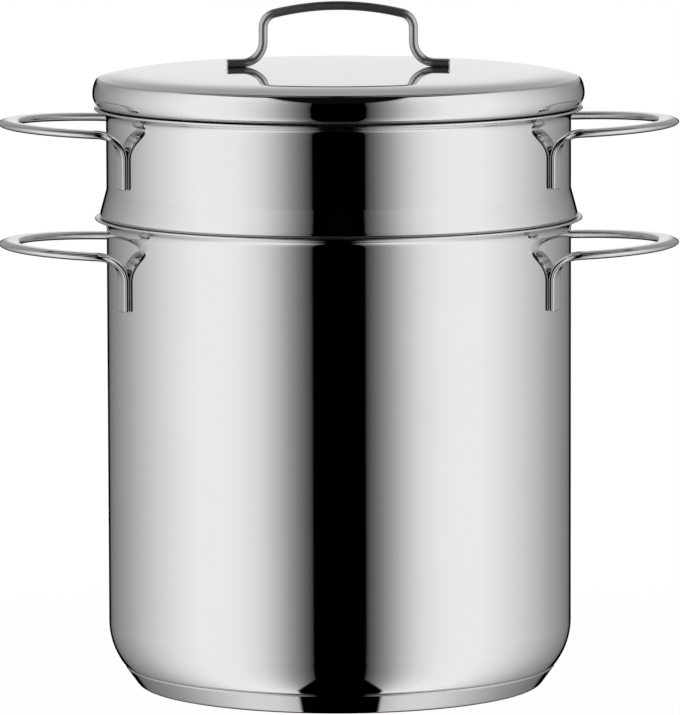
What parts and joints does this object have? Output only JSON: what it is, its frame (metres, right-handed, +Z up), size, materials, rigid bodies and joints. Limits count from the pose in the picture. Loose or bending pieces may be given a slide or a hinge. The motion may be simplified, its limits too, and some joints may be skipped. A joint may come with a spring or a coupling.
{
  "type": "pasta pot",
  "caption": "Tall stainless steel pasta pot with a capsule base, a lift-out perforated strainer insert with its own flared rim, a plug-in shallow lid and handles of bent rod.",
  "frame": {"origin": "middle of the base's flat underside", "axes": "+Z up along the pot's axis, the side handles along X, the lid handle's bridge along X"},
  "size_m": [0.266, 0.1922, 0.2684],
  "materials": {
    "polished_steel": "mirror polished outside, fine satin inside",
    "base_steel": "polished side, turned satin underside",
    "handle_wire": "polished bent rod, oval at the sides and round on the lid",
    "aluminium_core": "plain rolled disc, sealed in the base"
  },
  "bodies": {
    "pot": {"pot_shell": "polished_steel", "base_core": "aluminium_core", "base_cap": "base_steel", "pot_handle_right": "handle_wire", "pot_handle_left": "handle_wire"},
    "insert": {"strainer_insert": "polished_steel", "insert_handle_right": "handle_wire", "insert_handle_left": "handle_wire"},
    "lid": {"lid_shell": "polished_steel", "lid_handle": "handle_wire"}
  },
  "joints": [
    {"name": "insert_lift", "type": "slide", "parent": "pot", "child": "insert", "axis": [0, 0, 1], "range_m": [0, 0.175]},
    {"name": "lid_lift", "type": "slide", "parent": "insert", "child": "lid", "axis": [0, 0, 1], "range_m": [0, 0.12]}
  ]
}
